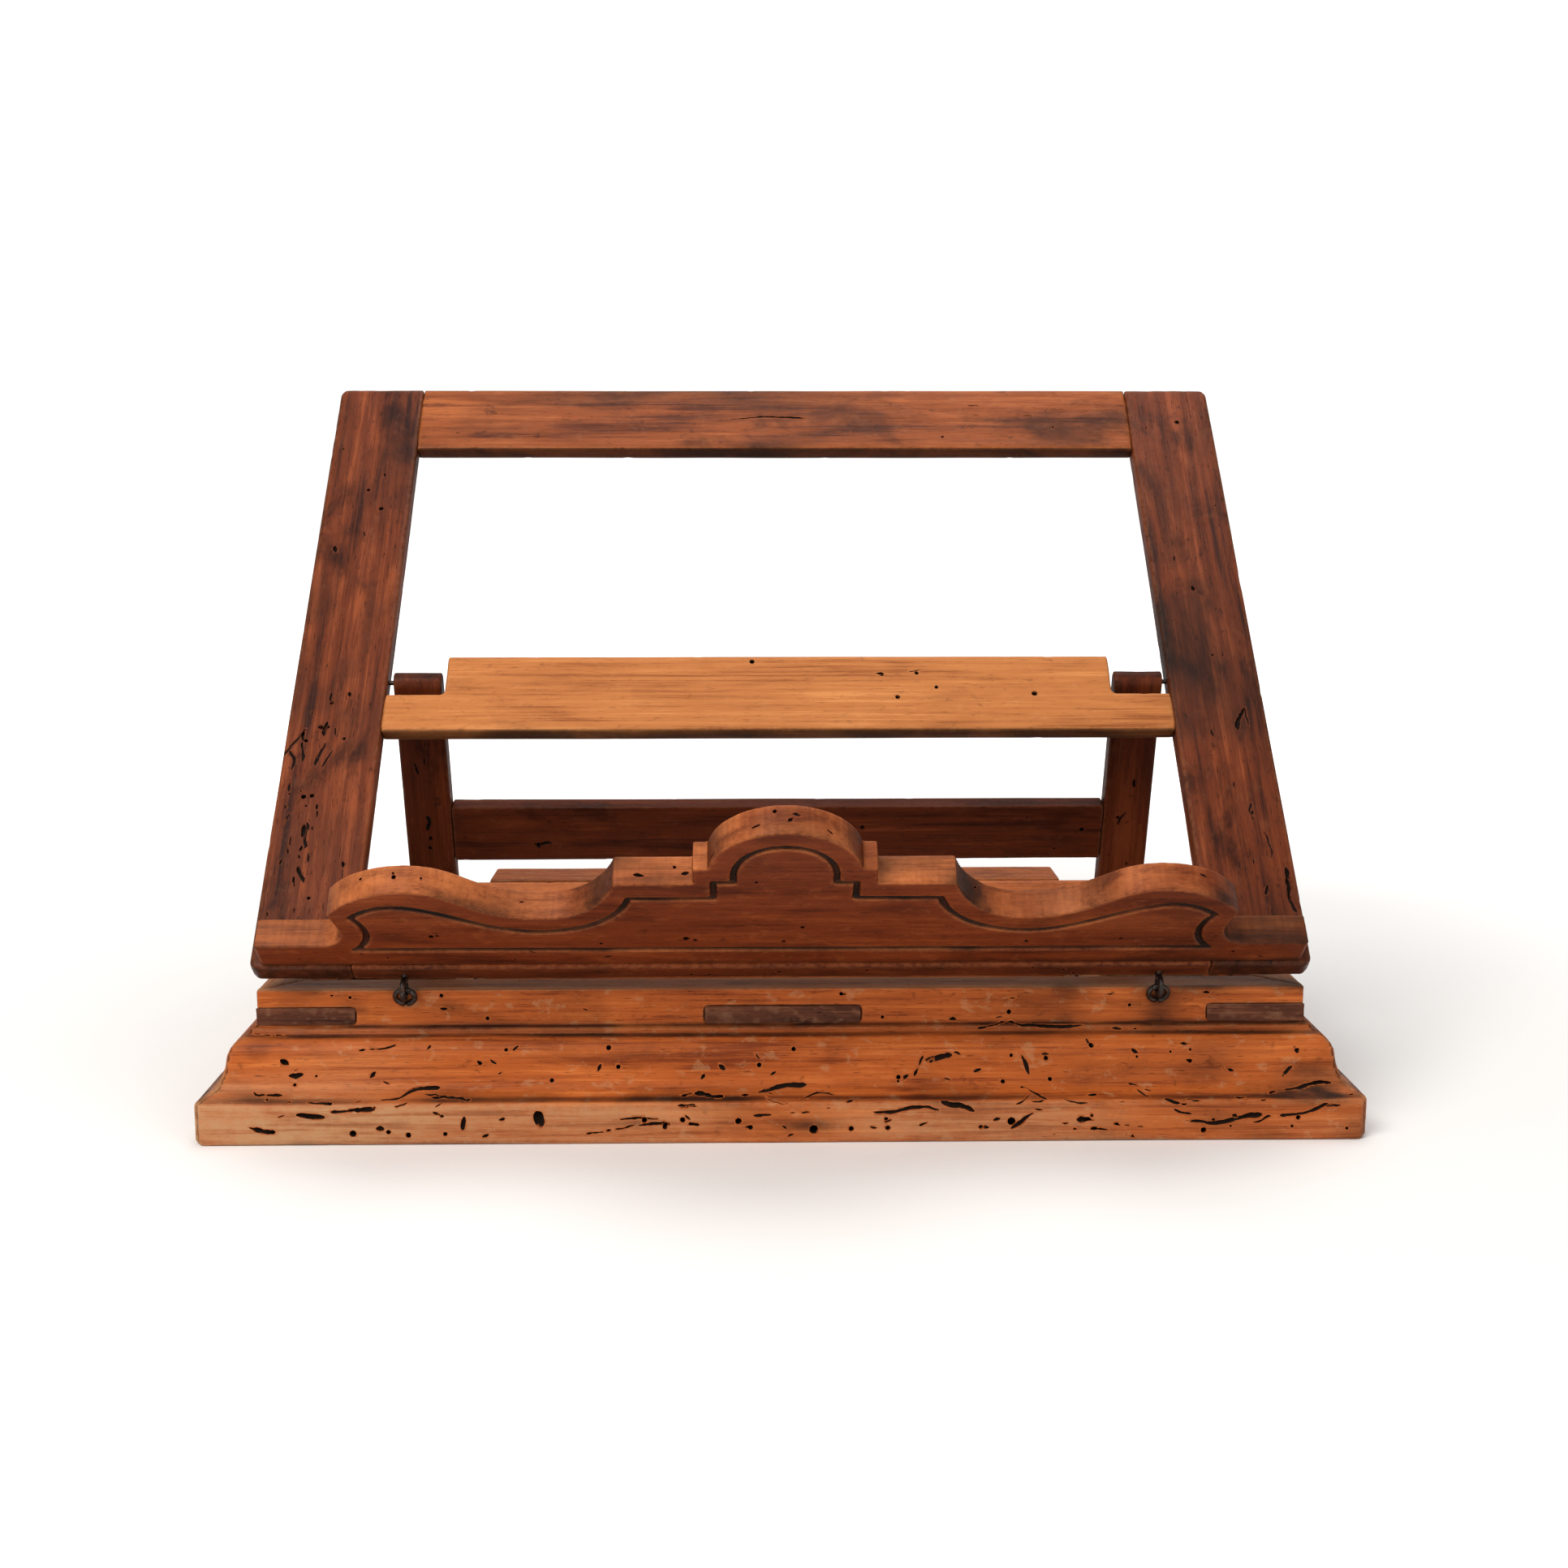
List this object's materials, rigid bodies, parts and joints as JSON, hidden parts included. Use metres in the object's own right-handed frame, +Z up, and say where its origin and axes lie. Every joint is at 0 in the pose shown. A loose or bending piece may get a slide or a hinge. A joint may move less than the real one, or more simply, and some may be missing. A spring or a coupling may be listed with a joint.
{
  "type": "table-top book stand",
  "caption": "Old wooden table-top book stand: an open reading frame with a scrolled ledge, hinged on a moulded base and propped by a folding strut.",
  "frame": {"origin": "underside of the front rail, at mid width, below the front face of the frieze", "axes": "+X to the reader's right, +Y to the back, +Z up"},
  "size_m": [0.392, 0.2697, 0.2542],
  "materials": {
    "base_wood": "old waxed, worn, wormholes",
    "plain_wood": "bare, dusty",
    "dark_patch": "stained",
    "frame_wood": "old waxed, blotchy",
    "honey_wood": "old waxed",
    "ledge_wood": "old waxed, worn arrises",
    "strut_wood": "old waxed",
    "iron": "dark, worn wire"
  },
  "bodies": {
    "base": {"base_front_rail": "base_wood", "base_left_rail": "base_wood", "base_right_rail": "base_wood", "base_back_rail": "base_wood", "left_rack": "plain_wood", "right_rack": "plain_wood", "rack_nails": "iron", "corner_glue_blocks": "plain_wood", "frieze_patch_left": "dark_patch", "frieze_patch_centre": "dark_patch", "frieze_patch_right": "dark_patch", "base_hinge_eyes": "iron"},
    "reading_frame": {"left_stile": "frame_wood", "right_stile": "frame_wood", "top_rail": "frame_wood", "bottom_rail": "frame_wood", "mid_rail": "honey_wood", "book_ledge": "ledge_wood", "ledge_dowels": "plain_wood", "frame_hinge_eyes": "iron", "strut_pivot_pins": "iron"},
    "strut": {"left_leg": "strut_wood", "right_leg": "strut_wood", "strut_cross_rail": "strut_wood", "cross_rail_pegs": "plain_wood"}
  },
  "joints": [
    {"name": "reading_frame_tilt", "type": "hinge", "parent": "base", "child": "reading_frame", "pos_m": [0, -0.004, 0.0494], "axis": [1, 0, 0], "range_deg": [-46.5, 6]},
    {"name": "strut_swing", "type": "hinge", "parent": "reading_frame", "child": "strut", "pos_m": [0, 0.08083, 0.14361], "axis": [1, 0, 0], "range_deg": [-16, 119.5]}
  ],
  "couplings": [
    {"joint": "strut_swing", "follows": "reading_frame_tilt", "ratio": -2.5591}
  ]
}
